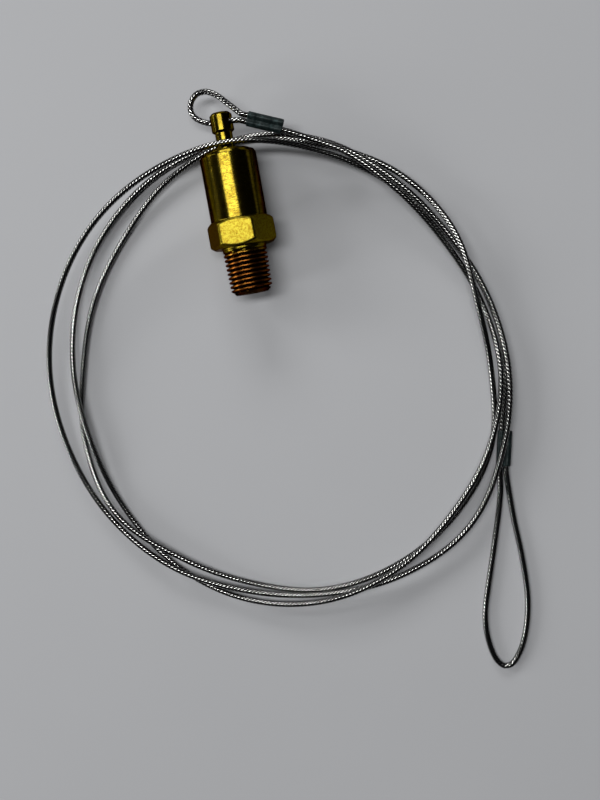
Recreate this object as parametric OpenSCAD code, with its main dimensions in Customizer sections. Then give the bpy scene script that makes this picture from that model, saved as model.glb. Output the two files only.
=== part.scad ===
// Pull-cable drain valve: a brass pipe-thread valve that a spring holds shut and a wire cable pulls open.
// It lies on a hexagon flat. The valve axis runs along +Y, with the stem at the +Y end, and +Z is up.
// The origin is on the surface below the middle of the valve. All sizes are in millimetres.

/* [Pipe thread] */
// Length of the tapered male thread, from its end to the hexagon
thread_len = 15.1; // [12:0.1:18]
// Crest diameter at the hexagon end
thread_large_d = 14.2; // [13:0.05:15]
// Distance from crest to crest
thread_pitch = 1.411; // [1:0.001:1.8]
// Length in which the thread's diameter grows by 1
thread_taper = 16; // [12:1:24]
// Chamfer on the thread's first turn
thread_chamfer = 1.1; // [0.6:0.05:1.4]
// Diameter of the air passage through the thread
inlet_bore_d = 8; // [7.2:0.1:8.6]
// Depth of that passage
inlet_bore_depth = 18; // [12:0.5:20]

/* [Hexagon] */
// Width across the wrench flats
hex_af = 19.05; // [18:0.05:22]
// Length along the valve
hex_len = 8.6; // [6:0.1:12]
// Diameter that the corners are turned down to
hex_corner_d = 21.9; // [20.8:0.05:21.95]
// Slope of the chamfers, from the end faces
hex_chamfer_angle = 35; // [25:1:45]
// How far inside the flats the chamfers start
hex_face_inset = 0.2; // [0.1:0.05:0.4]

/* [Barrel] */
// Outside diameter
barrel_d = 18.1; // [17:0.1:18.6]
// Length beyond the hexagon
barrel_len = 21; // [19:0.1:28]
// Chamfer at the mouth, along the axis
barrel_chamfer_len = 0.9; // [0.4:0.05:1.2]
// Chamfer at the mouth, towards the axis
barrel_chamfer_in = 0.5; // [0.2:0.05:0.8]
// Diameter of the spring chamber
chamber_d = 13.2; // [13:0.05:14]
// Depth of the chamber floor below the barrel's hexagon end
chamber_floor_inset = 1.2; // [0.5:0.1:2]

/* [Valve seat] */
// Bore of the seat
seat_bore_d = 7; // [6.8:0.05:7.1]
// Diameter of the seat lip at its foot
seat_lip_d = 9.6; // [9.2:0.1:10]
// Width of the lip's flat top
seat_lip_top = 0.6; // [0.3:0.05:0.8]
// Height of the lip above the chamber floor
seat_lip_h = 1.2; // [0.8:0.1:2]

/* [Guide bush] */
// Diameter of the bush, pressed into the barrel's mouth
bush_d = 15; // [14.6:0.1:15.4]
// Length of the bush inside the barrel
bush_depth = 3; // [2:0.1:4]
// Height of its rim above the barrel
bush_rim = 0.7; // [0.3:0.05:1.2]
// Chamfer round the rim
bush_chamfer = 0.45; // [0.1:0.05:0.6]
// Hole round the stem, which also lets the water and air out
bush_hole_d = 6.6; // [5.8:0.1:7]

/* [Pull stem] */
// Diameter of the stem
stem_d = 5.5; // [5:0.05:5.8]
// Length of the plain stem between the bush and the head's cone
stem_neck_len = 5.7; // [5.5:0.1:8]
// Diameter of the head
head_d = 7.1; // [6.8:0.05:7.8]
// Length of the head's straight side
head_len = 5; // [4.4:0.1:6]
// Slope of the cone under the head, from the axis
head_cone_angle = 55; // [35:1:60]
// Length of the chamfer at the head's end
head_chamfer = 0.75; // [0.5:0.05:1]
// Slope of that chamfer, from the axis
head_chamfer_angle = 45; // [20:1:50]
// Cross hole for the cable
eye_hole_d = 3.3; // [3.2:0.05:3.5]
// Distance from the head's end to the cross hole
eye_hole_drop = 2.7; // [2.3:0.1:3.6]
// Turn of the cross hole about the stem, from level
eye_hole_turn = 30; // [26:1:34]
// How far the stem can be pulled
stem_travel = 4.5; // [2:0.1:5]

/* [Poppet and disc] */
// Clearance of the poppet in the chamber, on radius
poppet_clear = 0.2; // [0.1:0.05:0.4]
// Thickness of the poppet's web
poppet_web = 1.6; // [1.2:0.1:2]
// Outside diameter of the poppet's hub
hub_d = 8.4; // [7.6:0.1:8.6]
// Gap left between the hub and its stop at full pull
stop_gap = 0.2; // [0.1:0.05:0.5]
// Number of air grooves round the poppet
flute_count = 6; // [3:1:8]
// Diameter of the cutter for those grooves
flute_d = 2.4; // [2:0.1:2.6]
// Depth of those grooves
flute_depth = 0.6; // [0.3:0.05:0.7]
// Diameter of the rubber disc
disc_d = 10.2; // [10:0.1:10.4]
// Thickness of the rubber disc
disc_t = 2.2; // [1.6:0.1:3]
// Height that the disc stands proud of the poppet
disc_proud = 0.6; // [0.3:0.05:0.9]
// Clearance of the disc in its recess, on radius
disc_clear = 0.1; // [0.05:0.05:0.15]
// Diameter of the washer under the disc
disc_washer_d = 5.8; // [5.4:0.1:6]
// Thickness of that washer
disc_washer_t = 0.6; // [0.4:0.1:0.8]

/* [Disc screw] */
// Thread diameter
screw_d = 3; // [2.5:0.1:3]
// Head diameter
screw_head_d = 5; // [4.4:0.1:5.2]
// Head height
screw_head_t = 1.4; // [1:0.1:1.6]
// Width of the driver slot
screw_slot_w = 0.8; // [0.5:0.1:1]
// Depth of the driver slot
screw_slot_depth = 0.7; // [0.4:0.05:0.8]
// Length of screw inside the stem
screw_grip = 5; // [4:0.5:8]
// Room left past the screw's end
screw_hole_spare = 0.6; // [0.3:0.1:1]

/* [Return spring] */
// Diameter of the spring wire
spring_wire_d = 1.1; // [0.9:0.05:1.2]
// Outside diameter
spring_od = 11.8; // [11.4:0.1:12.2]
// Number of turns
spring_turns = 5; // [4:0.5:5.5]
// Gap between each end turn and its seat
spring_seat_gap = 0.05; // [0.02:0.01:0.1]
// Thickness of the washer above the spring
spring_washer_t = 0.6; // [0.4:0.1:1]
// Diameter of that washer
spring_washer_d = 12.7; // [12.4:0.1:12.9]
// Hole in that washer
spring_washer_hole_d = 7; // [6.4:0.1:7.4]

/* [Cable] */
// Diameter of the wire cable
cable_d = 1.9; // [1.6:0.05:2]
// Flat sides on the coil's tube
coil_sides = 6; // [6:1:8]
// Rings for each turn of the coil
coil_rings = 24; // [24:1:36]
// Flat sides on the tubes of the two end loops
loop_sides = 8; // [8:1:12]

/* [Ferrules] */
// Length of each crimped ferrule
ferrule_len = 11.5; // [10:0.1:13]
// Wall round the two cable lanes
ferrule_wall = 0.4; // [0.3:0.05:0.5]
// Web between the two lanes
ferrule_web = 0.1; // [0.05:0.05:0.2]
// Number of crimp dents along a ferrule
crimp_count = 3; // [2:1:4]
// Depth of each dent
crimp_depth = 0.25; // [0.1:0.05:0.3]
// Diameter of the crimping die
crimp_die_d = 6; // [5:0.5:8]

/* [Hidden] */
$fn = 96;

brass = [0.72, 0.55, 0.2];
steel = [0.62, 0.62, 0.6];
dark_metal = [0.16, 0.2, 0.2];
black_rubber = [0.08, 0.08, 0.08];

// Overlap of cutting tools past the faces that they cut
cut = 1;

// Stations along the valve, measured from the thread's end
hex_base = thread_len;
barrel_base = hex_base + hex_len;
barrel_end = barrel_base + barrel_len;
bush_face = barrel_end + bush_rim;
cone_len = (head_d - stem_d) / 2 / tan(head_cone_angle);
cone_base = bush_face + stem_neck_len;
head_base = cone_base + cone_len;
head_top = head_base + head_len + head_chamfer;
eye_at = head_top - eye_hole_drop;
chamber_floor = barrel_base + chamber_floor_inset;
seat_plane = chamber_floor + seat_lip_h;
disc_top = seat_plane + disc_t;
spring_foot = disc_top + poppet_web;
bush_inner = barrel_end - bush_depth;
spring_head = bush_inner - spring_washer_t;
hub_top = spring_head - stem_travel - stop_gap;
washer_foot = seat_plane - disc_washer_t;

// Where the valve lies: its axis is half a hexagon above the surface, its middle over the origin
axis_z = hex_af / 2;
valve_y = -head_top / 2;
eye_y = valve_y + eye_at;

// Pipe thread: sharp 60 degree form, cut short of the hexagon
thread_depth = thread_pitch / 2 * tan(60);
thread_neck_least = 0.25;
thread_turns = floor((thread_len - thread_neck_least) / thread_pitch);
function crest_r(at) = thread_large_d / 2 - (thread_len - at) / thread_taper / 2;
function root_r(at) = crest_r(at) - thread_depth;
function chamfer_r(at) = crest_r(0) - thread_chamfer + at;
function thread_point(at, r) = [min(r, chamfer_r(at)), at];
thread_profile = [
    for (turn = [0 : thread_turns - 1])
        let (at = turn * thread_pitch)
            for (p = [
                thread_point(at, root_r(at)),
                thread_point(at + thread_pitch / 2, crest_r(at)),
            ]) p,
    [root_r(thread_turns * thread_pitch), thread_turns * thread_pitch],
    [root_r(thread_len), thread_len],
];

hex_chamfer_slope = tan(hex_chamfer_angle);
hex_face_r = hex_af / 2 - hex_face_inset;
hex_chamfer_len = (hex_corner_d / 2 - hex_face_r) * hex_chamfer_slope;

// Pitch of the cable's two lanes in a ferrule, and the ferrule's outside
lane_pitch = cable_d + ferrule_web;
ferrule_t = cable_d + 2 * ferrule_wall;

// Ferrule at the stem: centre, heading and droop. Its places are measured from the stem's eye.
stem_ferrule_at = [13.6, eye_y - 3.1, axis_z + 0.6];
stem_ferrule_heading = -23;
stem_ferrule_droop = 8;
// Ferrule at the finger loop, flat on the surface under the coil
finger_ferrule_at = [70.6, eye_y - 118.1, ferrule_t / 2];
finger_ferrule_heading = -102;
finger_ferrule_droop = 0;

// A point in a ferrule: along its length from its centre, and across from lane to lane
function ferrule_point(at, heading, droop, along, across) =
    at + along * [cos(droop) * cos(heading), cos(droop) * sin(heading), -sin(droop)]
       + across * [-sin(heading), cos(heading), 0];
function stem_lane(along, lane) = ferrule_point(
    stem_ferrule_at, stem_ferrule_heading, stem_ferrule_droop, along, lane * lane_pitch / 2);
function finger_lane(along, lane) = ferrule_point(
    finger_ferrule_at, finger_ferrule_heading, finger_ferrule_droop, along, lane * lane_pitch / 2);
half_ferrule = ferrule_len / 2;
// Straight cable outside a ferrule's mouth
mouth_run = cable_d;

// The coil's turns: radius and height at every 20 degrees, clockwise from +Y as seen from above
coil_centre = [4.5, eye_y - 81.3];
coil_step = 20;
coil_start = 20;
coil_turns = [
    // First turn: down from the stem's ferrule, round, and under the stem
    [74, 8], [69, 7], [66.5, 4.4], [67.6, 2.7], [70.2, 3.7], [71.1, 4.2], [71.9, 5], [74.8, 6.3], [77.7, 5.1],
    [78.5, 2.8], [76.6, 1.2], [72.9, 1.3], [70.4, 3.5], [71.5, 3.7], [74, 2], [76, 1.2], [77.1, 1],
    // Second turn: also under the stem
    [76.1, 1.2], [74, 1.5], [73.5, 3], [71, 5.9], [66.3, 5.7], [67.3, 2.3], [71.9, 1.4], [73.5, 1.2],
    [74.5, 1.1], [74.9, 1], [73, 1.6], [73, 3.2], [75.6, 3.9], [73.1, 1.6], [69, 1.2], [68.5, 1.2],
    [69.5, 1.2], [73.4, 2.5],
    // Third turn: over the finger loop's ferrule, then up over the stem
    [76.4, 3.9], [75, 4.3], [71, 4.5], [69, 3.5], [70.1, 3.6], [72.7, 4.1], [75.5, 4.5], [79, 4.1], [78, 3],
    [76, 3], [75.4, 3.6], [77, 4], [78, 3.6], [78, 5], [78.5, 7], [78, 10], [77.2, 12.5], [75.6, 14.1],
    // Last stretch: down to the finger loop's ferrule
    [74.2, 13.5], [71.4, 6.5], [69.5, 2.5], [68.5, 1.2], [70, 1.2], [72, 1.5]
];
coil_end = coil_start + coil_step * (len(coil_turns) - 1);

// Smooth value between four evenly spaced ones
function smooth(a, b, c, d, t) =
    b + t * (c - a) / 2 + t * t * (a - 2.5 * b + 2 * c - d / 2) + t * t * t * (1.5 * (b - c) + (d - a) / 2);
function turn_value(i, k) = coil_turns[max(0, min(len(coil_turns) - 1, i))][k];
function coil_value(angle, k) =
    let (s = (angle - coil_start) / coil_step, i = min(floor(s), len(coil_turns) - 2))
        smooth(turn_value(i - 1, k), turn_value(i, k), turn_value(i + 1, k), turn_value(i + 2, k), s - i);
function coil_point(angle) =
    let (r = coil_value(angle, 0))
        [coil_centre.x + r * sin(angle), coil_centre.y + r * cos(angle), coil_value(angle, 1)];

coil_path = [
    stem_lane(half_ferrule, -1),
    stem_lane(half_ferrule + mouth_run, -1),
    for (angle = [coil_start : 360 / coil_rings : coil_end]) coil_point(angle),
    finger_lane(-half_ferrule - mouth_run, -1),
    finger_lane(-half_ferrule, -1)
];

// Loop through the stem's eye, from its tail in one lane of the ferrule round to the other lane.
// Places are across the valve, from the eye along the valve, and from the valve's axis upwards.
eye_loop_route = [
    [5.8, 2, 1.4], [4.4, 3.6, 1.1], [3, 5.1, 0.8], [1.6, 6.7, 0.6], [0.1, 8.2, 0.3], [-1.4, 9.3, 0],
    [-2.9, 10.1, -0.4], [-4.5, 10.5, -0.8], [-6.2, 10.3, -1.1], [-7.6, 9.5, -1.3], [-8.8, 8.1, -1.6],
    [-9.4, 6.4, -1.9], [-9.3, 4.8, -2.1], [-8.6, 3.5, -2.3], [-7.4, 2.4, -2.4], [-5.6, 1.3, -2.4],
    [-3.8, 0.6, -2], [0, 0, 0], [3.6, -0.6, 1.8]
];
eye_loop_points = [
    stem_lane(half_ferrule, 1),
    stem_lane(-half_ferrule, 1),
    stem_lane(-half_ferrule - mouth_run, 1),
    for (p = eye_loop_route) [p.x, eye_y + p.y, axis_z + p.z],
    stem_lane(-half_ferrule - mouth_run, -1),
    stem_lane(-half_ferrule, -1),
    stem_lane(half_ferrule, -1)
];

// Finger loop, flat on the surface, from one lane of its ferrule round to the tail in the other lane.
// Places are across the valve, from the eye along the valve, and above the surface.
finger_loop_route = [
    [67, -133, 1], [62.5, -149, 1], [57.6, -165, 1], [56, -171, 1], [55.4, -176, 1], [55.5, -180.5, 1],
    [56.2, -185, 1], [57.5, -188.3, 1], [59.6, -190.1, 1], [61.9, -189.5, 1], [64.2, -187, 1], [66.5, -183, 1],
    [68.6, -177, 1], [70, -170.5, 1], [70.6, -164, 1], [70.6, -153, 1], [70, -141, 1]
];
finger_loop_points = [
    finger_lane(-half_ferrule, -1),
    finger_lane(half_ferrule, -1),
    finger_lane(half_ferrule + mouth_run, -1),
    for (p = finger_loop_route) [p.x, eye_y + p.y, p.z],
    finger_lane(half_ferrule + mouth_run, 1),
    finger_lane(half_ferrule, 1),
    finger_lane(-half_ferrule, 1)
];

// Smooth path through points, with each gap cut into equal steps and slopes taken across the neighbours
function slope_at(points, i) =
    let (a = max(0, i - 1), b = min(len(points) - 1, i + 1), way = points[b] - points[a])
        way / (norm(points[i] - points[a]) + norm(points[b] - points[i]));
function smooth_path(points, steps) = [
    for (i = [0 : len(points) - 2])
        let (
            p = points[i],
            q = points[i + 1],
            gap = norm(q - p),
            m = slope_at(points, i) * gap,
            n = slope_at(points, i + 1) * gap
        )
            for (s = [0 : steps - 1])
                let (t = s / steps)
                    p + t * m + t * t * (3 * (q - p) - 2 * m - n) + t * t * t * (2 * (p - q) + m + n),
    points[len(points) - 1]
];
loop_steps = 2;
eye_loop_path = smooth_path(eye_loop_points, loop_steps);
finger_loop_path = smooth_path(finger_loop_points, loop_steps);

// Return spring: an open helix between its two seats, along the valve
spring_r = (spring_od - spring_wire_d) / 2;
spring_low = spring_foot + spring_wire_d / 2 + spring_seat_gap;
spring_high = spring_head - spring_wire_d / 2 - spring_seat_gap;
spring_rings = 8;
spring_sides = 6;
spring_path = [
    for (i = [0 : spring_rings * spring_turns])
        let (turn = i / spring_rings)
            [
                spring_r * cos(360 * turn),
                spring_r * sin(360 * turn),
                spring_low + (spring_high - spring_low) * turn / spring_turns
            ]
];

// Least gap of a tube to itself, measured on points between the rings, with near neighbours skipped
gap_steps = 4;
function filled(path) = [
    for (i = [0 : len(path) - 2])
        for (s = [0 : gap_steps - 1]) path[i] + (path[i + 1] - path[i]) * s / gap_steps
];
function least_gap(path, d, skip) =
    let (p = filled(path), last = len(p) - 1, apart = skip * gap_steps)
        min([for (i = [0 : last - apart]) for (j = [i + apart : last]) norm(p[i] - p[j])]) - d;
echo(coil_least_gap = least_gap(coil_path, cable_d, coil_rings / 2));  // cable_coil
echo(spring_least_gap = least_gap(spring_path, spring_wire_d, spring_rings / 2));  // return_spring

// Tube swept along a path that never runs along the reference direction
function unit(v) = v / norm(v);
function heading_at(path, i) = unit(path[min(i + 1, len(path) - 1)] - path[max(i - 1, 0)]);
module tube(path, d, sides, reference) {
    rings = len(path);
    points = [
        for (i = [0 : rings - 1])
            let (way = heading_at(path, i), side = unit(cross(way, reference)), up = cross(side, way))
                for (k = [0 : sides - 1])
                    let (a = 360 * (k + 0.5) / sides)
                        path[i] + d / 2 * (cos(a) * side + sin(a) * up)
    ];
    walls = [
        for (i = [0 : rings - 2])
            for (k = [0 : sides - 1])
                let (a = i * sides + k, b = i * sides + (k + 1) % sides)
                    for (face = [[a, b, b + sides], [a, b + sides, a + sides]]) face
    ];
    first_cap = [for (k = [1 : sides - 2]) [0, k + 1, k]];
    last = (rings - 1) * sides;
    last_cap = [for (k = [1 : sides - 2]) [last, last + k, last + k + 1]];
    polyhedron(points = points, faces = concat(walls, first_cap, last_cap), convexity = 10);
}

// Turns a piece drawn up its own axis from the thread's end into its place along +Y
module along_valve() {
    translate([0, valve_y, axis_z]) rotate([-90, 0, 0]) children();
}

module drill(d, from, to) {
    translate([0, 0, from]) cylinder(d = d, h = to - from);
}

module ring(outer_d, inner_d, from, to) {
    difference() {
        drill(outer_d, from, to);
        drill(inner_d, from - cut, to + cut);
    }
}

module pipe_thread() {
    rotate_extrude() polygon(concat([[0, 0]], thread_profile, [[0, thread_len]]));
}

module hexagon() {
    corner_r = hex_corner_d / 2;
    face_r = hex_face_r;
    intersection() {
        translate([0, 0, hex_base]) cylinder(r = hex_af / 2 / cos(30), h = hex_len, $fn = 6);
        rotate_extrude() polygon([
            [0, hex_base], [face_r, hex_base], [corner_r, hex_base + hex_chamfer_len],
            [corner_r, barrel_base - hex_chamfer_len], [face_r, barrel_base], [0, barrel_base]
        ]);
    }
}

module barrel() {
    r = barrel_d / 2;
    rotate_extrude() polygon([
        [0, barrel_base], [r, barrel_base], [r, barrel_end - barrel_chamfer_len],
        [r - barrel_chamfer_in, barrel_end], [0, barrel_end]
    ]);
}

// Chamber with the raised seat lip left standing on its floor
module chamber() {
    lip_r = seat_bore_d / 2 + seat_lip_top;
    rotate_extrude() polygon([
        [0, seat_plane], [lip_r, seat_plane], [seat_lip_d / 2, chamber_floor],
        [chamber_d / 2, chamber_floor], [chamber_d / 2, bush_inner + cut], [0, bush_inner + cut]
    ]);
}

module valve_body() {
    color(brass) along_valve() difference() {
        union() {
            pipe_thread();
            hexagon();
            barrel();
        }
        drill(inlet_bore_d, -cut, inlet_bore_depth);
        drill(seat_bore_d, inlet_bore_depth - cut, seat_plane + cut);
        chamber();
        drill(bush_d, bush_inner, barrel_end + cut);
    }
}

module guide_bush() {
    r = bush_d / 2;
    hole_r = bush_hole_d / 2;
    color(brass) along_valve() rotate_extrude() polygon([
        [hole_r, bush_inner], [r, bush_inner], [r, bush_face - bush_chamfer],
        [r - bush_chamfer, bush_face], [hole_r, bush_face]
    ]);
}

module pull_stem() {
    r = stem_d / 2;
    head_r = head_d / 2;
    tip_r = head_r - head_chamfer * tan(head_chamfer_angle);
    color(brass) along_valve() difference() {
        rotate_extrude() polygon([
            [0, spring_foot], [r, spring_foot], [r, cone_base], [head_r, head_base],
            [head_r, head_base + head_len], [tip_r, head_top], [0, head_top]
        ]);
        translate([0, 0, eye_at]) rotate([0, 90, -eye_hole_turn])
            cylinder(d = eye_hole_d, h = head_d + 2 * cut, center = true);
        drill(screw_d, spring_foot - cut, spring_foot + screw_grip + screw_hole_spare);
    }
}

module poppet() {
    poppet_r = chamber_d / 2 - poppet_clear;
    recess_r = disc_d / 2 + disc_clear;
    rim = seat_plane + disc_proud;
    color(brass) along_valve() difference() {
        rotate_extrude() polygon([
            [screw_d / 2, disc_top], [recess_r, disc_top], [recess_r, rim], [poppet_r, rim],
            [poppet_r, spring_foot], [hub_d / 2, spring_foot], [hub_d / 2, hub_top],
            [stem_d / 2, hub_top], [stem_d / 2, spring_foot], [screw_d / 2, spring_foot]
        ]);
        for (k = [0 : flute_count - 1])
            rotate([0, 0, 360 * k / flute_count])
                translate([poppet_r - flute_depth + flute_d / 2, 0, 0])
                    drill(flute_d, rim - cut, spring_foot + cut);
    }
}

module seat_disc() {
    color(black_rubber) along_valve() ring(disc_d, screw_d, seat_plane, disc_top);
}

module disc_washer() {
    color(brass) along_valve() ring(disc_washer_d, screw_d, washer_foot, seat_plane);
}

module disc_screw() {
    head_foot = washer_foot - screw_head_t;
    color(brass) along_valve() difference() {
        union() {
            drill(screw_head_d, head_foot, washer_foot);
            drill(screw_d, head_foot, spring_foot + screw_grip);
        }
        translate([-screw_head_d, -screw_slot_w / 2, head_foot - cut])
            cube([2 * screw_head_d, screw_slot_w, screw_slot_depth + cut]);
    }
}

module return_spring() {
    color(steel) along_valve() tube(spring_path, spring_wire_d, spring_sides, [0, 0, 1]);
}

module spring_washer() {
    color(steel) along_valve() ring(spring_washer_d, spring_washer_hole_d, spring_head, bush_inner);
}

// Crimped oval sleeve with its two cable lanes, along X
module ferrule(at, heading, droop) {
    translate(at) rotate([0, droop, heading]) difference() {
        rotate([90, 0, 90]) linear_extrude(height = ferrule_len, center = true) {
            square([lane_pitch, ferrule_t], center = true);
            for (side = [-1, 1]) translate([side * lane_pitch / 2, 0]) circle(d = ferrule_t);
        }
        for (side = [-1, 1])
            translate([0, side * lane_pitch / 2, 0]) rotate([0, 90, 0])
                cylinder(d = cable_d, h = ferrule_len + 2 * cut, center = true);
        for (k = [1 : crimp_count], side = [-1, 1])
            translate([
                ferrule_len * (k / (crimp_count + 1) - 0.5), 0,
                side * (ferrule_t / 2 + crimp_die_d / 2 - crimp_depth)
            ])
                rotate([90, 0, 0])
                    cylinder(d = crimp_die_d, h = lane_pitch + ferrule_t + 2 * cut, center = true);
    }
}

module stem_ferrule() {
    color(dark_metal) ferrule(stem_ferrule_at, stem_ferrule_heading, stem_ferrule_droop);
}

module finger_ferrule() {
    color(dark_metal) ferrule(finger_ferrule_at, finger_ferrule_heading, finger_ferrule_droop);
}

module stem_eye_loop() {
    color(steel) tube(eye_loop_path, cable_d, loop_sides, [0, 0, 1]);
}

module cable_coil() {
    color(steel) tube(coil_path, cable_d, coil_sides, [0, 0, 1]);
}

module finger_loop() {
    color(steel) tube(finger_loop_path, cable_d, loop_sides, [0, 0, 1]);
}

valve_body();
guide_bush();
pull_stem();
poppet();
seat_disc();
disc_washer();
disc_screw();
return_spring();
spring_washer();
stem_eye_loop();
stem_ferrule();
cable_coil();
finger_ferrule();
finger_loop();
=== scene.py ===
# Looks of a brass pull-cable drain valve, on a pale table inside the loose turns of its own wire cable.
# The valve's axis runs along +Y, from the pipe thread to the pull stem, and +Z is up.
import math

import bpy
import numpy as np
from mathutils import Matrix, Vector


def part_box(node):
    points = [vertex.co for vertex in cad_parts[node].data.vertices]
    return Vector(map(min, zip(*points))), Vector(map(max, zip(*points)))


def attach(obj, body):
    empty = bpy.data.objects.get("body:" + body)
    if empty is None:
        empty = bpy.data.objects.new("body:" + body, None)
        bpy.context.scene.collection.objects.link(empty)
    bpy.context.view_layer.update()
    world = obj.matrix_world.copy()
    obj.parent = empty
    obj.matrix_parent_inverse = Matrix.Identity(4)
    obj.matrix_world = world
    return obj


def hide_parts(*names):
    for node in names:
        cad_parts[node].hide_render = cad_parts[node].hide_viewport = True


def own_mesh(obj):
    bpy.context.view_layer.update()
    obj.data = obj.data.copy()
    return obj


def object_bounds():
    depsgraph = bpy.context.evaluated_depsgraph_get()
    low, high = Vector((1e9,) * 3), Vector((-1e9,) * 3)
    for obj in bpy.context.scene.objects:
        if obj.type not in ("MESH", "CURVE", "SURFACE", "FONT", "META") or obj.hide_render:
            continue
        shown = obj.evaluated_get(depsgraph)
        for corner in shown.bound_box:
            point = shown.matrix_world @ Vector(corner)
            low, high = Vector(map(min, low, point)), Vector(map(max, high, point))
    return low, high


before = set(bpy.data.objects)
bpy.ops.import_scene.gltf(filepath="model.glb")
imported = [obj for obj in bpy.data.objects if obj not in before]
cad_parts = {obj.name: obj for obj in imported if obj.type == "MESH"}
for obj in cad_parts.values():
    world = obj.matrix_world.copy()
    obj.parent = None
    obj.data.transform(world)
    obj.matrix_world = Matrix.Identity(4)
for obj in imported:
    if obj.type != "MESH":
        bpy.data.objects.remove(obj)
cad_low, cad_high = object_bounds()

# Sizes are in millimetres, as the solids are drawn, and meshes are in metres
MM = 0.001

# Where the solids lie; a station is a distance along the valve's axis from the thread's end
body_low, body_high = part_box("valve_body")
bush_low, bush_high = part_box("guide_bush")
stem_low, stem_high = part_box("pull_stem")
spring_low, spring_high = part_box("return_spring")
valve_y = body_low.y / MM
axis_z = (body_low.z + body_high.z) / 2 / MM
hex_af = (body_high.z - body_low.z) / MM
hex_corner_r = (body_high.x - body_low.x) / 2 / MM
barrel_end = (body_high.y - body_low.y) / MM
bush_face = bush_high.y / MM - valve_y
bush_inner = bush_low.y / MM - valve_y
head_top = stem_high.y / MM - valve_y
stem_foot = stem_low.y / MM - valve_y

# Pipe thread and the inlet behind it
thread_len = 15.1
thread_pitch = 1.411
thread_large_r = 7.1
thread_taper = 16
thread_chamfer = 1.5
thread_depth = 1.1
thread_crest_flat = 0.3
thread_root_flat = 0.06
thread_run_out = 2.2
thread_neck = 0.7
inlet_r = 4
inlet_depth = 18
inlet_chamfer = 0.35

# Hexagon and barrel
hex_base = thread_len
hex_len = 8.6
hex_face_inset = 0.2
hex_face_r = hex_af / 2 - hex_face_inset
hex_chamfer_angle = 35
hex_edge_wear = 0.18
barrel_base = hex_base + hex_len
barrel_r = 9.05
barrel_foot_len = 0.15
barrel_foot_out = 0.05
barrel_chamfer_len = 0.9
barrel_chamfer_in = 0.5
bush_r = 7.5
bush_chamfer = 0.45
bush_hole_r = 3.3

# Chamber and seat
chamber_r = 6.6
chamber_rise = 1.2
chamber_floor = barrel_base + chamber_rise
seat_lip_len = 1.2
seat_plane = chamber_floor + seat_lip_len
seat_r = 3.5
seat_lip_r = 4.1
seat_lip_foot_r = 4.8

# Pull stem
stem_r = 2.75
head_r = 3.55
head_tip_r = 2.8
head_chamfer = 0.75
head_len = 5
head_base = head_top - head_chamfer - head_len
head_cone_len = 0.56
screw_r = 1.5
screw_hole_depth = 5.6
eye_hole_r = 1.65
eye_hole_flare = 0.3
eye_hole_flare_from = 0.8
eye_hole_reach = 1.3
eye_hole_turn = 30
eye_below_top = 2.7
eye_y = valve_y + head_top - eye_below_top

# Return spring
spring_wire_r = 0.55
spring_r = 5.35
spring_turns = 5

# Cable: six strands round a core
cable_d = 1.9
strand_count = 6
strand_lay = 7.5
strand_relief = 0.16
cable_ring_step = 0.55
points_on_strand = 4
wires_round = 24
# The round coil stays inside the reach of the solid's straight sides
coil_inset = 0.3

# Ferrules: centre, heading and droop of each, and the two lanes of cable inside
ferrule_len = 11.5
ferrule_t = 2.7
lane_pitch = 2
stem_ferrule = dict(at=(13.6, eye_y - 3.1, axis_z + 0.6), heading=-23, droop=8)
finger_ferrule = dict(at=(70.6, eye_y - 118.1, ferrule_t / 2), heading=-102, droop=0)
crimp_depth = 0.12
crimp_half_width = 1
crimp_places = np.array([-0.2, 0.24]) * ferrule_len
groove_depth = 0.5
groove_half_width = 0.6
mouth_round = 0.3
lane_squareness = 6

# Coil: radius and height at every 20 degrees, clockwise from +Y as seen from above
coil_centre = (4.5, eye_y - 81.3)
coil_step = 20
coil_start = 20
coil_cuts = 4
coil_turns = np.array([
    # First turn: down from the stem's ferrule, round, and under the stem
    [74, 8], [69, 7], [66.5, 4.4], [67.6, 2.7], [70.2, 3.7], [71.1, 4.2], [71.9, 5], [74.8, 6.3],
    [77.7, 5.1], [78.5, 2.8], [76.6, 1.2], [72.9, 1.3], [70.4, 3.5], [71.5, 3.7], [74, 2], [76, 1.2],
    [77.1, 1],
    # Second turn: also under the stem
    [76.1, 1.2], [74, 1.5], [73.5, 3], [71, 5.9], [66.3, 5.7], [67.3, 2.3], [71.9, 1.4], [73.5, 1.2],
    [74.5, 1.1], [74.9, 1], [73, 1.6], [73, 3.2], [75.6, 3.9], [73.1, 1.6], [69, 1.2], [68.5, 1.2],
    [69.5, 1.2], [73.4, 2.5],
    # Third turn: over the finger loop's ferrule, then up over the stem
    [76.4, 3.9], [75, 4.3], [71, 4.5], [69, 3.5], [70.1, 3.6], [72.7, 4.1], [75.5, 4.5], [79, 4.1],
    [78, 3], [76, 3], [75.4, 3.6], [77, 4], [78, 3.6], [78, 5], [78.5, 7], [78, 10], [77.2, 12.5],
    [75.6, 14.1],
    # Last stretch: down to the finger loop's ferrule
    [74.2, 13.5], [71.4, 6.5], [69.5, 2.5], [68.5, 1.2], [70, 1.2], [72, 1.5],
])

# Loop through the stem's eye: across the valve, from the eye along the valve, and up from its axis
eye_loop_route = [
    [5.8, 2, 1.4], [4.4, 3.6, 1.1], [3, 5.1, 0.8], [1.6, 6.7, 0.6], [0.1, 8.2, 0.3], [-1.4, 9.3, 0],
    [-2.9, 10.1, -0.4], [-4.5, 10.5, -0.8], [-6.2, 10.3, -1.1], [-7.6, 9.5, -1.3], [-8.8, 8.1, -1.6],
    [-9.4, 6.4, -1.9], [-9.3, 4.8, -2.1], [-8.6, 3.5, -2.3], [-7.4, 2.4, -2.4], [-5.6, 1.3, -2.4],
    [-3.8, 0.6, -2], [0, 0, 0], [3.6, -0.6, 1.8],
]

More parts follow.
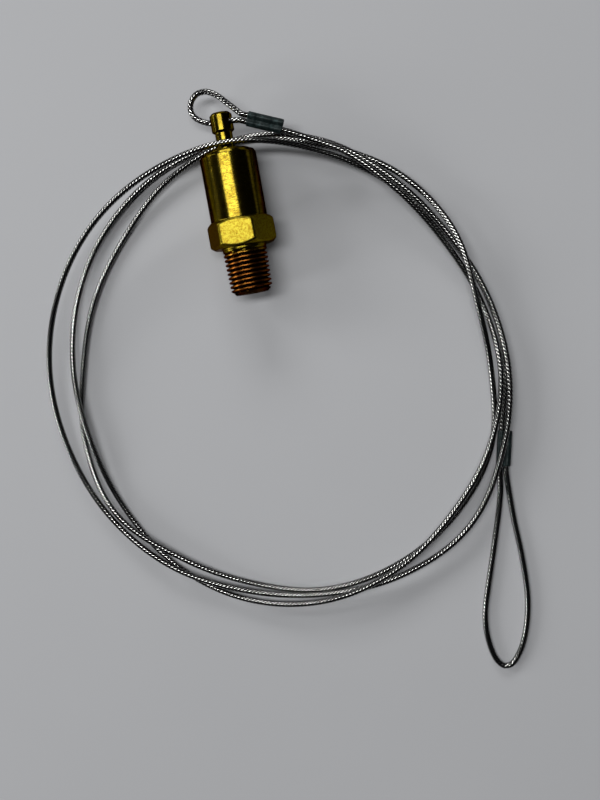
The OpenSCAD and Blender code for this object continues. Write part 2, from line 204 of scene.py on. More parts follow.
# Finger loop: across the valve, from the eye along the valve, and up from the table
finger_loop_route = [
    [67, -133, 1], [62.5, -149, 1], [57.6, -165, 1], [56, -171, 1], [55.4, -176, 1], [55.5, -180.5, 1],
    [56.2, -185, 1], [57.5, -188.3, 1], [59.6, -190.1, 1], [61.9, -189.5, 1], [64.2, -187, 1],
    [66.5, -183, 1], [68.6, -177, 1], [70, -170.5, 1], [70.6, -164, 1], [70.6, -153, 1], [70, -141, 1],
]

# Fineness of the meshes, and the small roundings on turned edges
sharp_angle = 35
body_sides = 288
turned_sides = 128
thread_rings = 140
hexagon_rings = 56
hexagon_crowding = 0.9
eye_hole_rings = 41
ferrule_rings = 72
ferrule_sides = 96
spring_rings = 48
wire_sides = 16
path_steps = 12
edge_ease = 0.12
edge_hold = 1.4
seam_gap = 0.01
axis_gap = 0.02

# Camera, table and light
camera_place = (52.1, -40.16, 327.2)
camera_looks_at = (7.6, -65.75, 0)
camera_turn = 10.26
camera_lens = 45
camera_sensor = 36
camera_near = 0.01
table_half = 1.2
table_cells = 4
room_dark = (0.012, 0.012, 0.014)
room_pale = (0.3, 0.304, 0.313)
light_looks_at = (0, -0.03, 0)
lights = {
    "ceiling_light": dict(place=(-0.22, 0.3, 2.04), size=(1.6, 0.32), power=25.5),
    "left_window": dict(place=(-1.92, -0.3, 0.62), size=(0.84, 0.5), power=15),
    "corner_window": dict(place=(-1.6, 0.96, 0.7), size=(1.1, 0.5), power=18),
    "far_window": dict(place=(-0.06, 1.87, 0.85), size=(1.1, 0.5), power=19),
}


def add_camera():
    """Camera at a place, looking at a point, with the picture's top turned from +Y towards +X."""
    place = Vector(camera_place) * MM
    forward = (Vector(camera_looks_at) * MM - place).normalized()
    turn = math.radians(camera_turn)
    right = forward.cross(Vector((math.sin(turn), math.cos(turn), 0))).normalized()
    up = right.cross(forward)
    data = bpy.data.cameras.new("camera")
    data.lens = camera_lens
    data.sensor_width = camera_sensor
    data.clip_start = camera_near
    camera = bpy.data.objects.new("camera", data)
    bpy.context.scene.collection.objects.link(camera)
    axes = Matrix((right, up, -forward)).transposed().to_4x4()
    camera.matrix_world = Matrix.Translation(place) @ axes
    bpy.context.scene.camera = camera


def add_light(name, place, size, power):
    """Rectangular lamp at a place, facing the part, with its width along the table's X."""
    data = bpy.data.lights.new(name, "AREA")
    data.shape = "RECTANGLE"
    data.size, data.size_y = size
    data.energy = power
    lamp = bpy.data.objects.new(name, data)
    bpy.context.scene.collection.objects.link(lamp)
    back = (Vector(place) - Vector(light_looks_at)).normalized()
    wide = (Vector((1, 0, 0)) - back.x * back).normalized()
    turn = Matrix((wide, back.cross(wide), back)).transposed().to_4x4()
    lamp.matrix_world = Matrix.Translation(place) @ turn


# Shader maths
class Shade:
    """One output of a node in a material. Sums and products of these add Math nodes."""

    def __init__(self, tree, socket=None):
        self.tree = tree
        self.socket = socket

    def node(self, kind, settings=None, inputs=None, output=0):
        """Adds a node: its settings first, then the values or links of its sockets."""
        made = self.tree.nodes.new(kind)
        for key, value in (settings or {}).items():
            setattr(made, key, value)
        for key, value in (inputs or {}).items():
            if isinstance(value, Shade):
                self.tree.links.new(value.socket, made.inputs[key])
            else:
                made.inputs[key].default_value = value
        return Shade(self.tree, made.outputs[output])

    def math(self, operation, first, second=0.0):
        """Math node on one or two values."""
        return self.node("ShaderNodeMath", {"operation": operation}, {0: first, 1: second})

    def __add__(self, other):
        return self.math("ADD", self, other)

    def __sub__(self, other):
        return self.math("SUBTRACT", self, other)

    def __rsub__(self, other):
        return self.math("SUBTRACT", other, self)

    def __mul__(self, other):
        return self.math("MULTIPLY", self, other)

    def __truediv__(self, other):
        return self.math("DIVIDE", self, other)

    def __rtruediv__(self, other):
        return self.math("DIVIDE", other, self)

    __radd__ = __add__
    __rmul__ = __mul__


def place_of(shade):
    """Place on the piece, in its own coordinates."""
    return shade.node("ShaderNodeTexCoord", output="Object")


def stretched(vector, scale):
    """A place with each of its three parts multiplied."""
    return vector.node("ShaderNodeVectorMath", {"operation": "MULTIPLY"}, {0: vector, 1: scale})


def along(vector, axis):
    """One part of a place: X, Y or Z."""
    return vector.node("ShaderNodeSeparateXYZ", None, {0: vector}, output=axis)


def speckle(vector, scale=1.0, detail=3.0, rough=0.55):
    """Cloudy noise from 0 to 1."""
    inputs = {"Vector": vector, "Scale": scale, "Detail": detail, "Roughness": rough}
    return vector.node("ShaderNodeTexNoise", None, inputs)


def lines(value, scale, detail=2.0):
    """Noise that changes along one value only, so it makes lines or rings."""
    inputs = {"W": value, "Scale": scale, "Detail": detail}
    return value.node("ShaderNodeTexNoise", {"noise_dimensions": "1D"}, inputs)


def ease(value, low, high):
    """0 below low, 1 above high and smooth between; the other way round where low is above high."""
    settings = {"interpolation_type": "SMOOTHSTEP"}
    if low < high:
        ends = {"From Min": low, "From Max": high, "To Min": 0.0, "To Max": 1.0}
    else:
        ends = {"From Min": high, "From Max": low, "To Min": 1.0, "To Max": 0.0}
    return value.node("ShaderNodeMapRange", settings, {"Value": value, **ends})


def blend(share, first, second):
    """Colour that goes from the first to the second."""
    start, end = (colour if isinstance(colour, Shade) else (*colour, 1) for colour in (first, second))
    return share.node("ShaderNodeMix", {"data_type": "RGBA"}, {0: share, 6: start, 7: end}, output=2)


def bumped(height, distance):
    """Normal of a surface whose height, from 0 to 1, stands for a distance."""
    return height.node("ShaderNodeBump", None, {"Height": height, "Distance": distance, "Strength": 1.0})


def finish(name, constants, changing):
    """Material with one shader: constants go on its sockets, and changing() gives what varies."""
    material = bpy.data.materials.new(name)
    material.use_nodes = True
    tree = material.node_tree
    shader = tree.nodes["Principled BSDF"]
    for socket, value in constants.items():
        shader.inputs[socket].default_value = value
    for socket, value in changing(Shade(tree)).items():
        tree.links.new(value.socket, shader.inputs[socket])
    return material


# Finishes: colours are linear, and each fineness is a number of noise cells to the metre
brass_light = (0.118, 0.09, 0.009)
brass_deep = (0.05, 0.027, 0.0015)
brass_flat = (0.178, 0.148, 0.014)
brass_flat_deep = (0.115, 0.07, 0.005)
# Copper tint on the thread: painted reflection, for light bounced between the thread's flanks
copper_reflection_tint = (0.18, 0.052, 0.01)
brass_dark = (0.02, 0.009, 0.002)
brass_edge = (0.2, 0.095, 0.02, 1)
brass_bump = 0.00002
ring_fineness = 6000.0
patch_fineness = 420.0
chatter_fineness = (700.0, 2800.0, 700.0)
speck_fineness = 1500.0
mottle_fineness = 1700.0
wire_bright = (0.62, 0.62, 0.6)
# Near-black off the strands' crests: painted shade in the grooves between strands
wire_painted_shade = (0.012, 0.012, 0.0115)
wire_grime = (0.04, 0.039, 0.036)
wire_bump = 0.0000015
grime_fineness = 300.0
ferrule_black = (0.006, 0.012, 0.012)
ferrule_scuffed = (0.025, 0.045, 0.045)
ferrule_bump = 0.00003
scuff_fineness = 700.0
pit_fineness = 2600.0
spring_grey = (0.5, 0.5, 0.49)
spring_brown = (0.3, 0.27, 0.23)
spring_bump = 0.00002
spring_fineness = 500.0
rubber_black = (0.018, 0.018, 0.018)
rubber_grey = (0.035, 0.034, 0.033)
rubber_bump = 0.00003
grain_fineness = 3000.0
table_grey = (0.385, 0.39, 0.402)
table_pale = (0.405, 0.41, 0.422)
cloud_fineness = 9.0

# Stations between which the body's finish changes to that of each region
thread_fade = (hex_base - 0.1, hex_base - 0.6)
copper_reflection_fade = (hex_base - 0.8, hex_base - 3)
barrel_fade = (barrel_base - 0.1, barrel_base + 0.1)
dark_end_fade = (2.2, 0.8)


def brass_marks(place, station):
    """Marks on all the brass: tool rings along a station, patches, chatter and a few specks."""
    rings = lines(station, ring_fineness)
    patches = speckle(place, patch_fineness, 4.0)
    chatter = speckle(stretched(place, chatter_fineness), 1.0, 2.0)
    specks = ease(speckle(place, speck_fineness, 2.0), 0.70, 0.76)
    return rings, patches, chatter, specks


def turned_brass(shade):
    """Turned brass: fine tool rings round the axis, patches of deeper colour and a few dark specks."""
    place = place_of(shade)
    rings, patches, chatter, specks = brass_marks(place, along(place, "Y"))
    colour = blend(ease(patches, 0.42, 0.8), brass_light, brass_deep)
    return {
        "Base Color": blend(specks * 0.8, colour, brass_dark),
        "Roughness": 0.07 + 0.08 * rings + 0.07 * patches + 0.2 * specks,
        "Normal": bumped(0.3 * rings + 0.4 * chatter, brass_bump),
    }


def body_brass(shade):
    """The body's brass: turned barrel, mottled hexagon flats, and a thread with a copper tint painted as
    reflection between its flanks, painted shade in its roots, and darker towards its end.
    """
    place = place_of(shade)
    station = along(place, "Y") - valve_y * MM
    rings, patches, chatter, specks = brass_marks(place, station)
    mottle = speckle(place, mottle_fineness, 4.0, 0.65)
    on_thread, on_copper_reflection, on_barrel, at_end = (
        ease(station, start * MM, end * MM)
        for start, end in (thread_fade, copper_reflection_fade, barrel_fade, dark_end_fade)
    )
    on_hexagon = 1 - on_thread - on_barrel
    root_shade = on_thread * shade.node("ShaderNodeAttribute", {"attribute_name": "root"}, output="Fac")
    ticks = ease(chatter, 0.5, 0.62) * on_barrel
    on_flats = blend(ease(mottle, 0.38, 0.66), brass_flat, brass_flat_deep)
    colour = blend(on_barrel, on_flats, blend(ease(patches, 0.42, 0.8), brass_light, brass_deep))
    # Copper tint on the thread below its neck: painted reflection between the flanks
    colour = blend(on_copper_reflection * (0.75 + 0.25 * patches), colour, copper_reflection_tint)
    # Painted shade in the thread's roots; the thread also goes darker towards its end
    colour = blend(0.85 * root_shade + 0.8 * at_end * (1 - root_shade), colour, brass_dark)
    roughness = 0.09 + 0.07 * rings + 0.08 * mottle + 0.2 * specks
    height = (0.3 * rings + chatter) * on_barrel + 0.9 * mottle * (1 - on_barrel)
    return {
        "Base Color": blend(specks * 0.8 + ticks * 0.45 * (1 - specks), colour, brass_dark),
        "Roughness": roughness + 0.14 * on_hexagon + 0.13 * on_copper_reflection,
        "Normal": bumped(height, brass_bump),
    }


def cable_steel(shade):
    """Bare steel wire rope: bright strands of fine wires, with painted shade off each strand's crest and
    in the grooves between the strands.
    """
    valley = shade.node("ShaderNodeAttribute", {"attribute_name": "valley"}, output="Fac")
    wire_place = shade.node("ShaderNodeUVMap", {"uv_map": "UVMap"})
    turn = (along(wire_place, "X") + along(wire_place, "Y") / strand_lay) * (2 * math.pi * wires_round)
    wire = 0.5 + 0.5 * turn.math("SINE", turn)
    grime = speckle(place_of(shade), grime_fineness, 3.0)
    # Away from each strand's crest the steel goes near black: painted shade
    colour = blend(ease(valley, 0.01, 0.15), wire_bright, wire_painted_shade)
    return {
        "Base Color": blend(ease(grime, 0.5, 0.75) * 0.5, colour, wire_grime),
        "Roughness": 0.13 + 0.06 * grime + 0.1 * valley,
        "Normal": bumped(wire, wire_bump),
    }


def dark_ferrule(shade):
    """Dark crimped metal: blue-black, scuffed paler in random patches."""
    place = place_of(shade)
    scuffs = ease(speckle(place, scuff_fineness, 5.0, 0.7), 0.5, 0.72)
    pits = speckle(place, pit_fineness, 3.0)
    return {
        "Base Color": blend(scuffs, ferrule_black, ferrule_scuffed),
        "Roughness": 0.3 + 0.22 * pits + 0.12 * scuffs,
        "Normal": bumped(pits + scuffs * 0.5, ferrule_bump),
    }


def spring_steel(shade):
    """Drawn spring wire and its plain washer: grey with faint brown patches."""
    patches = speckle(place_of(shade), spring_fineness, 4.0)
    return {
        "Base Color": blend(ease(patches, 0.4, 0.75), spring_grey, spring_brown),
        "Roughness": 0.25 + 0.25 * patches,
        "Normal": bumped(patches, spring_bump),
    }


def black_rubber(shade):
    """Matt black rubber with a fine grain."""
    grain = speckle(place_of(shade), grain_fineness, 3.0)
    return {
        "Base Color": blend(grain, rubber_black, rubber_grey),
        "Roughness": 0.6 + 0.25 * grain,
        "Normal": bumped(grain, rubber_bump),
    }


def table_top(shade):
    """Pale grey table top with faint cloudy patches."""
    clouds = speckle(place_of(shade), cloud_fineness, 4.0)
    return {
        "Base Color": blend(clouds, table_grey, table_pale),
        "Roughness": 0.5 + 0.1 * clouds,
    }


def add_room():
    """Room round the table: dark where it would light the part, and pale where the camera sees it."""
    world = bpy.data.worlds.new("room")
    bpy.context.scene.world = world
    world.use_nodes = True
    tree = world.node_tree
    seen = Shade(tree).node("ShaderNodeLightPath", output="Is Camera Ray")
    tree.links.new(blend(seen, room_dark, room_pale).socket, tree.nodes["Background"].inputs["Color"])


# Meshes
def ring_uv(lengths, sides):
    """UV corners of a grid's quads: the share of a turn, and the length along the piece."""
    turn = np.arange(sides) / sides
    here, near = np.broadcast_arrays(turn, lengths[:-1, None])
    after, far = np.broadcast_arrays(turn + 1 / sides, lengths[1:, None])
    corners = [[here, near], [here, far], [after, far], [after, near]]
    return np.stack([np.stack(corner, axis=-1) for corner in corners], axis=2).reshape(-1, 2)


def surface(name, points, material, joined=False, lengths=None, **attributes):
    """Closed mesh over a grid of points in millimetres: the first index runs along the piece, the
    second round it. The last ring meets the first where they are joined, and otherwise a fan closes
    each end. The UV map is the share of a turn and the length along, and each attribute has one value
    per point."""
    rings, sides = points.shape[:2]
    i = np.arange(rings if joined else rings - 1)[:, None]
    j = np.arange(sides)
    near, far, after = i * sides, (i + 1) % rings * sides, (j + 1) % sides
    faces = np.stack([near + j, far + j, far + after, near + after], axis=-1).reshape(-1, 4)
    lengths = np.linspace(0, 1, len(i) + 1) if lengths is None else lengths
    uv = ring_uv(lengths, sides)
    corners, starts = faces.ravel(), np.arange(len(faces)) * 4
    vertices = points.reshape(-1, 3)
    values = {key: np.broadcast_to(value, (rings, sides)).ravel() for key, value in attributes.items()}
    if not joined:
        hub, last = rings * sides, (rings - 1) * sides
        first_fan = np.stack([np.full(sides, hub), j, after], axis=-1)
        last_fan = np.stack([np.full(sides, hub + 1), last + after, last + j], axis=-1)
        starts = np.append(starts, len(corners) + np.arange(2 * sides) * 3)
        corners = np.concatenate([corners, first_fan.ravel(), last_fan.ravel()])
        uv = np.concatenate([uv, np.zeros((6 * sides, 2))])
        vertices = np.concatenate([vertices, points[[0, -1]].mean(axis=1)])
        values = {key: np.append(value, [value[0], value[-1]]) for key, value in values.items()}
    mesh = bpy.data.meshes.new(name)
    mesh.vertices.add(len(vertices))
    mesh.vertices.foreach_set("co", (vertices * MM).astype(np.float32).ravel())
    mesh.loops.add(len(corners))
    mesh.loops.foreach_set("vertex_index", corners.astype(np.int32))
    mesh.polygons.add(len(starts))
    mesh.polygons.foreach_set("loop_start", starts.astype(np.int32))
    mesh.uv_layers.new(name="UVMap").uv.foreach_set("vector", uv.astype(np.float32).ravel())
    for key, value in values.items():
        mesh.attributes.new(key, "FLOAT", "POINT").data.foreach_set("value", value.astype(np.float32))
    mesh.update(calc_edges=True)
    return piece_of(name, mesh, material)


def piece_of(name, mesh, material):
    """Object for a mesh, smooth apart from its sharp edges, with one material."""
    mesh.validate()
    mesh.polygons.foreach_set("use_smooth", np.ones(len(mesh.polygons), bool))
    mesh.set_sharp_from_angle(angle=math.radians(sharp_angle))
    mesh.materials.clear()
    mesh.materials.append(material)
    piece = bpy.data.objects.new(name, mesh)
    bpy.context.scene.collection.objects.link(piece)
    return piece


def eased_corners(outline, ease_len, steps=4):
    """Outline of (station, radius) points, with each corner between its ends cut back by a length and
    rounded with a parabola, and one more point on each side to keep the straights flat."""
    outline = np.asarray(outline, float)
    before, corner, after = outline[:-2], outline[1:-1], outline[2:]
    t = np.linspace(0, 1, steps + 1)[:, None]
    rounded = [outline[:1]]
    for a, b, c in zip(before, corner, after):
        left, right = a - b, c - b
        cut_left = min(ease_len, np.linalg.norm(left) / 3) * left / np.linalg.norm(left)
        cut_right = min(ease_len, np.linalg.norm(right) / 3) * right / np.linalg.norm(right)
        bend = b + (1 - t) ** 2 * cut_left + t ** 2 * cut_right
        rounded += [[b + edge_hold * cut_left], bend, [b + edge_hold * cut_right]]
    return np.concatenate([*rounded, outline[-1:]])


def turned(stations, radii, sides):
    """Rings round the valve's axis: a point at each angle, at its radius from the axis and its station."""
    angle = np.arange(sides) / sides * 2 * math.pi
    rings = len(stations)
    radii = np.broadcast_to(np.asarray(radii, float).reshape(rings, -1), (rings, sides))
    along_valve = np.broadcast_to(valve_y + np.asarray(stations, float)[:, None], radii.shape)
    return np.stack([radii * np.cos(angle), along_valve, axis_z + radii * np.sin(angle)], axis=-1)


def thread_radius(station, angle):
    """Radius of the right-hand tapered thread, and how deep in a root it is, from 0 to 1. The share of a
    pitch at a place is its station over the pitch plus its share of a turn. The tooth rises and falls
    evenly over it, with flats at crest and root. It fades out towards the hexagon, and a chamfer cuts
    its end."""
    crest = thread_large_r - (thread_len - station) / thread_taper / 2
    share = (station / thread_pitch + angle / (2 * math.pi)) % 1
    tooth = 1 - np.abs(2 * share - 1)
    rise = np.clip((tooth - thread_root_flat) / (1 - thread_root_flat - thread_crest_flat), 0, 1)
    fade = np.clip((thread_len - thread_neck - station) / thread_run_out, 0, 1)
    depth = thread_depth * (1 - rise) * fade
    first = thread_large_r - thread_len / thread_taper / 2 - thread_chamfer + station
    return np.minimum(crest - depth, first), depth / thread_depth


def hexagon_radius(station, angle):
    """Radius of the chamfered hexagon, which has a flat on top: the smallest of the distances to the
    nearest two flats, the two chamfer cones and the turned corner. A soft minimum wears its edges."""
    sixth = math.pi / 3
    to_flat = angle % sixth - sixth / 2
    flat = hex_af / 2 / np.cos(to_flat)
    beside = hex_af / 2 / np.cos(sixth - np.abs(to_flat))
    slope = math.tan(math.radians(hex_chamfer_angle))
    low = hex_face_r + (station - hex_base) / slope
    high = hex_face_r + (barrel_base - station) / slope
    limits = np.stack(np.broadcast_arrays(flat, beside, low, high, hex_corner_r))
    least = limits.min(axis=0)
    return least - hex_edge_wear * np.log(np.exp((least - limits) / hex_edge_wear).sum(axis=0))


def make_body(material):
    """Valve body: one closed skin of rings that goes out over thread, hexagon and barrel, in at the
    mouth and back through chamber, seat and inlet to the thread's end. The hexagon's rings lie closest
    at its ends and at its middle."""
    angle = np.arange(body_sides) / body_sides * 2 * math.pi
    thread_at = np.linspace(0, thread_len - seam_gap, thread_rings)[:, None]
    thread_r, root = thread_radius(thread_at, angle)
    share = np.linspace(0, 1, hexagon_rings)[:, None]
    share -= hexagon_crowding * np.sin(4 * math.pi * share) / (4 * math.pi)
    hexagon_at = hex_base + hex_len * share
    hexagon_r = hexagon_radius(hexagon_at, angle)
    turned_part = eased_corners([
        [barrel_base, barrel_r + barrel_foot_out], [barrel_base + barrel_foot_len, barrel_r],
        [barrel_end - barrel_chamfer_len, barrel_r], [barrel_end, barrel_r - barrel_chamfer_in],
        [barrel_end, bush_r], [bush_inner, bush_r], [bush_inner, chamber_r], [chamber_floor, chamber_r],
        [chamber_floor, seat_lip_foot_r], [seat_plane, seat_lip_r], [seat_plane, seat_r],
        [inlet_depth, seat_r], [inlet_depth, inlet_r],
        [inlet_chamfer, inlet_r], [0, inlet_r + inlet_chamfer],
    ], edge_ease)
    stations = np.concatenate([thread_at[:, 0], hexagon_at[:, 0], turned_part[:, 0]])
    turned_r = np.broadcast_to(turned_part[:, 1:], (len(turned_part), body_sides))
    radii = np.concatenate([thread_r, hexagon_r, turned_r])
    depths = np.concatenate([root, np.zeros((len(stations) - thread_rings, body_sides))])
    points = turned(stations, radii, body_sides)
    return surface("valve_body_skin", points, material, joined=True, root=depths)


def make_bush(material):
    """Guide bush: a turned ring, with a chamfer round its outer face."""
    middle_r = (bush_r + bush_hole_r) / 2
    outline = eased_corners([
        [bush_inner, middle_r], [bush_inner, bush_r], [bush_face - bush_chamfer, bush_r],
        [bush_face, bush_r - bush_chamfer], [bush_face, bush_hole_r], [bush_inner, bush_hole_r],
        [bush_inner, middle_r - seam_gap],
    ], edge_ease)
    points = turned(outline[:, 0], outline[:, 1], turned_sides)
    return surface("guide_bush_skin", points, material, joined=True)


def make_stem(material):
    """Pull stem: a turned pin with a coned head, less a cross hole whose mouths flare a little."""
    outline = eased_corners([
        [stem_foot + screw_hole_depth, axis_gap], [stem_foot + screw_hole_depth, screw_r],
        [stem_foot, screw_r], [stem_foot, stem_r], [head_base - head_cone_len, stem_r],
        [head_base, head_r], [head_base + head_len, head_r], [head_top, head_tip_r], [head_top, axis_gap],
    ], edge_ease)
    stem = surface("pull_stem_skin", turned(outline[:, 0], outline[:, 1], turned_sides), material)
    turn = math.radians(eye_hole_turn)
    way = np.array([math.cos(turn), 0, math.sin(turn)])
    out = np.linspace(-eye_hole_reach, eye_hole_reach, eye_hole_rings)
    flare_share = (np.abs(out) - eye_hole_flare_from) / (1 - eye_hole_flare_from)
    hole_r = eye_hole_r + eye_hole_flare * np.clip(flare_share, 0, 2) ** 2
    angle = np.arange(turned_sides)[:, None] / turned_sides * 2 * math.pi
    valve_axis = np.array([0, 1, 0])
    across = np.cos(angle) * valve_axis + np.sin(angle) * np.cross(valve_axis, -way)
    centre = np.array([0, eye_y, axis_z]) + head_r * out[:, None] * way
    cutter = surface("cross_hole", centre[:, None] + hole_r[:, None, None] * across, material)
    drill = stem.modifiers.new("cross_hole", "BOOLEAN")
    drill.operation = "DIFFERENCE"
    drill.object = cutter
    bpy.context.view_layer.update()
    evaluated = stem.evaluated_get(bpy.context.evaluated_depsgraph_get())
    drilled = bpy.data.meshes.new_from_object(evaluated)
    bpy.data.objects.remove(stem)
    bpy.data.objects.remove(cutter)
    drilled.name = "pull_stem_drilled"
    return piece_of("pull_stem_drilled", drilled, material)


# Paths
def smooth_path(points, steps):
    """Smooth path through points: in each gap a cubic that leaves and arrives along the line between the
    neighbours on either side, cut into equal steps."""
    points = np.asarray(points, float)
    gap = np.linalg.norm(np.diff(points, axis=0), axis=1)[:, None]
    slope = np.empty_like(points)
    slope[1:-1] = (points[2:] - points[:-2]) / (gap[1:] + gap[:-1])
    slope[0], slope[-1] = (points[1] - points[0]) / gap[0], (points[-1] - points[-2]) / gap[-1]
    t = (np.arange(steps) / steps)[None, :, None]
    p, q = points[:-1, None], points[1:, None]
    m, n = (slope[:-1] * gap)[:, None], (slope[1:] * gap)[:, None]
    path = p + t * m + t ** 2 * (3 * (q - p) - 2 * m - n) + t ** 3 * (2 * (p - q) + m + n)
    return np.concatenate([path.reshape(-1, 3), points[-1:]])


def even_path(path, step):
    """The same path with points an even length apart, and the length at each of them."""
    length = np.append(0, np.cumsum(np.linalg.norm(np.diff(path, axis=0), axis=1)))
    even = np.linspace(0, length[-1], int(length[-1] / step) + 1)
    return np.stack([np.interp(even, length, path[:, k]) for k in range(3)], axis=-1), even


def coil_path():
    """Turns of the coil: as the angle grows, radius and height go from one given pair to the next along
    a cubic, whose slope at each pair is half the change between that pair's neighbours."""
    last = len(coil_turns) - 1
    place = np.arange(last * coil_cuts + 1) / coil_cuts
    i = np.minimum(place.astype(int), last - 1)
    t = (place - i)[:, None]
    a, b, c, d = (coil_turns[np.clip(i + k, 0, last)] for k in (-1, 0, 1, 2))
    value = b + t * (c - a) / 2
    value += t ** 2 * (a - 2.5 * b + 2 * c - d / 2) + t ** 3 * (1.5 * (b - c) + (d - a) / 2)
    radius, height = value[:, 0] - coil_inset, value[:, 1]
    turn = np.radians(coil_start + coil_step * place)
    x, y = coil_centre
    return np.stack([x + radius * np.sin(turn), y + radius * np.cos(turn), height], axis=-1)


def ferrule_axes(ferrule):
    """Directions along a ferrule, across from lane to lane, and up through it."""
    heading, droop = math.radians(ferrule["heading"]), math.radians(ferrule["droop"])
    way = np.array([
        math.cos(droop) * math.cos(heading), math.cos(droop) * math.sin(heading), -math.sin(droop)
    ])
    across = np.array([-math.sin(heading), math.cos(heading), 0])
    return way, across, np.cross(way, across)


def lane_point(ferrule, length, lane):
    """Point in a ferrule, at a length from its centre, in the lane on one side (1) or the other (-1)."""
    way, across, _ = ferrule_axes(ferrule)
    return np.array(ferrule["at"]) + length * way + lane * lane_pitch / 2 * across


def cable_path():
    """The whole cable: its tail in the stem's ferrule, the loop through the stem's eye, back through the
    ferrule, the coil, the finger loop's ferrule, the finger loop, and its other tail in that ferrule.
    It is held inside the box of the solids."""
    half, mouth = ferrule_len / 2, ferrule_len / 2 + cable_d
    eye = np.array([0, eye_y, axis_z]) + np.array(eye_loop_route)
    finger = np.array([0, eye_y, 0]) + np.array(finger_loop_route)
    points = np.concatenate([
        [lane_point(stem_ferrule, at, 1) for at in (half, -half, -mouth)],
        eye,
        [lane_point(stem_ferrule, at, -1) for at in (-mouth, -half, half, mouth)],
        coil_path(),
        [lane_point(finger_ferrule, at, -1) for at in (-mouth, -half, half, mouth)],
        finger,
        [lane_point(finger_ferrule, at, 1) for at in (mouth, half, -half)],
    ])
    lowest = np.array(cad_low) / MM + cable_d / 2
    highest = np.array(cad_high) / MM - cable_d / 2
    return even_path(np.clip(smooth_path(points, path_steps), lowest, highest), cable_ring_step)


def frame_along(path):
    """Directions level across a path that never stands upright, and up from it."""
    way = np.gradient(path, axis=0)
    way /= np.linalg.norm(way, axis=1)[:, None]
    side = np.cross(way, [0, 0, 1])
    side /= np.linalg.norm(side, axis=1)[:, None]
    return side, np.cross(side, way)


def make_cable(material):
    """Cable of six strands: at each ring, the outline of six touching circles round a core, with only a
    share of its relief, turned by the share of a lay that the length along the cable gives."""
    path, length = cable_path()
    side, up = frame_along(path)
    on_strand = np.linspace(-0.5, 0.5, points_on_strand, endpoint=False) * 2 * math.pi / strand_count
    centre_r, strand_r = cable_d / 3, cable_d / 6
    reach = centre_r * np.cos(on_strand)
    reach += np.sqrt(np.clip(strand_r ** 2 - (centre_r * np.sin(on_strand)) ** 2, 0, None))
    reach = cable_d / 2 - strand_relief * (cable_d / 2 - reach)
    strand_turn = np.arange(strand_count) / strand_count * 2 * math.pi
    around = (strand_turn[:, None] + on_strand).ravel()
    radius = np.tile(reach, strand_count)
    angle = around + (length / strand_lay * 2 * math.pi)[:, None]
    ring = np.cos(angle)[..., None] * side[:, None] + np.sin(angle)[..., None] * up[:, None]
    valley = (cable_d / 2 - radius) / (cable_d / 2 - radius.min())
    points = path[:, None] + radius[:, None] * ring
    return surface("cable", points, material, lengths=length, valley=valley), path, length[-1]


def make_ferrule(name, ferrule, material):
    """Crimped ferrule: an oval of two half circles and two straights carried along its length, with a
    groove between its lanes, rounded at its mouths and pressed thinner at each crimp."""
    way, across, up = ferrule_axes(ferrule)
    length = np.linspace(-ferrule_len / 2, ferrule_len / 2, ferrule_rings)
    press = np.exp(-(((length[:, None] - crimp_places) / crimp_half_width) ** 4)).sum(axis=1)
    to_mouth = np.clip((ferrule_len / 2 - np.abs(length)) / mouth_round, 0, 1)
    mouth = np.sqrt(1 - (1 - to_mouth) ** 2)
    angle = np.arange(ferrule_sides) / ferrule_sides * 2 * math.pi
    half_t = ferrule_t / 2 - mouth_round * (1 - mouth)
    lane = lane_pitch / 2 * np.tanh(lane_squareness * np.cos(angle)) / math.tanh(lane_squareness)
    wide = lane + half_t[:, None] * np.cos(angle)
    groove = 1 - groove_depth / ferrule_t * 2 * np.exp(-((wide / groove_half_width) ** 2))
    high = (half_t - crimp_depth * press)[:, None] * np.sin(angle) * groove
    centre = np.array(ferrule["at"]) + length[:, None] * way
    points = centre[:, None] + wide[..., None] * across + high[..., None] * up
    return surface(name, points[:, ::-1], material)


def make_spring(material):
    """Return spring: round wire along a helix between its two seats."""
    wire_low, wire_high = spring_low.y / MM + spring_wire_r, spring_high.y / MM - spring_wire_r
    turn = np.linspace(0, spring_turns, spring_turns * spring_rings + 1)
    angle = turn * 2 * math.pi
    out = np.stack([np.cos(angle), np.zeros_like(angle), -np.sin(angle)], axis=-1)
    path = spring_r * out + np.array([0, 0, axis_z])
    path[:, 1] = wire_low + (wire_high - wire_low) * turn / spring_turns
    way = np.gradient(path, axis=0)
    way /= np.linalg.norm(way, axis=1)[:, None]
    up = np.cross(out, way)
    round_wire = np.arange(wire_sides) / wire_sides * 2 * math.pi
    ring = np.cos(round_wire)[:, None] * out[:, None] + np.sin(round_wire)[:, None] * up[:, None]
    return surface("return_spring_wire", path[:, None] + spring_wire_r * ring, material)


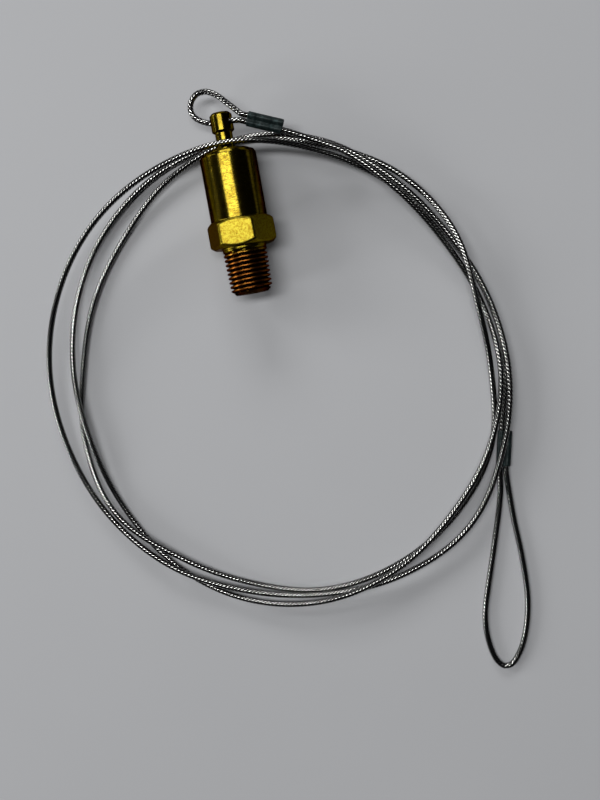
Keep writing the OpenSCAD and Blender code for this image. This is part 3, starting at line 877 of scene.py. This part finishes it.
def make_table(material):
    """Flat table top under the part, on a grid."""
    row = table_cells + 1
    place = np.linspace(-table_half, table_half, row)
    x, y = np.meshgrid(place, place)
    points = np.stack([x, y, np.zeros_like(x)], axis=-1).reshape(-1, 3)
    i, j = np.meshgrid(np.arange(table_cells), np.arange(table_cells))
    corner = (j * row + i).ravel()
    faces = np.stack([corner, corner + 1, corner + row + 1, corner + row], axis=-1)
    mesh = bpy.data.meshes.new("table")
    mesh.from_pydata(points.tolist(), [], faces.tolist())
    return piece_of("table", mesh, material)


# Scene
brass = finish("body_brass", {"Metallic": 1.0, "Specular Tint": brass_edge}, body_brass)
stem_brass = finish("turned_brass", {"Metallic": 1.0, "Specular Tint": brass_edge}, turned_brass)
steel = finish("cable_steel", {"Metallic": 1.0}, cable_steel)
ferrule_metal = finish("dark_ferrule", {"Metallic": 0.4, "Specular IOR Level": 0.3}, dark_ferrule)
wire_steel = finish("spring_steel", {"Metallic": 1.0}, spring_steel)
rubber = finish("black_rubber", {"Metallic": 0.0}, black_rubber)

add_camera()
cable, cable_points, cable_length = make_cable(steel)
stem_crimp = make_ferrule("stem_ferrule_crimped", stem_ferrule, ferrule_metal)
finger_crimp = make_ferrule("finger_ferrule_crimped", finger_ferrule, ferrule_metal)
body = make_body(brass)
bush = make_bush(stem_brass)
stem = make_stem(stem_brass)
spring = make_spring(wire_steel)

for piece, moves_with, stands_for, slot in [
    (cable, "plunger", ["stem_eye_loop", "cable_coil", "finger_loop"], "cable"),
    (stem_crimp, "plunger", ["stem_ferrule"], "ferrule"),
    (finger_crimp, "plunger", ["finger_ferrule"], "ferrule"),
    (body, "housing", ["valve_body"], "brass"),
    (bush, "housing", ["guide_bush"], "brass"),
    (stem, "plunger", ["pull_stem"], "brass"),
    (spring, "housing", ["return_spring"], "spring_steel"),
]:
    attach(piece, moves_with)
    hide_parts(*stands_for)

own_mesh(spring)

for node, material in {
    "poppet": stem_brass, "disc_washer": stem_brass, "disc_screw": stem_brass,
    "seat_disc": rubber, "spring_washer": wire_steel,
}.items():
    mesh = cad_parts[node].data
    mesh.materials.clear()
    mesh.materials.append(material)

table = make_table(finish("table_top", {"Metallic": 0.0, "Specular IOR Level": 0.12}, table_top))
for name, light in lights.items():
    add_light(name, **light)

add_room()
bpy.context.scene.view_settings.view_transform = "Standard"
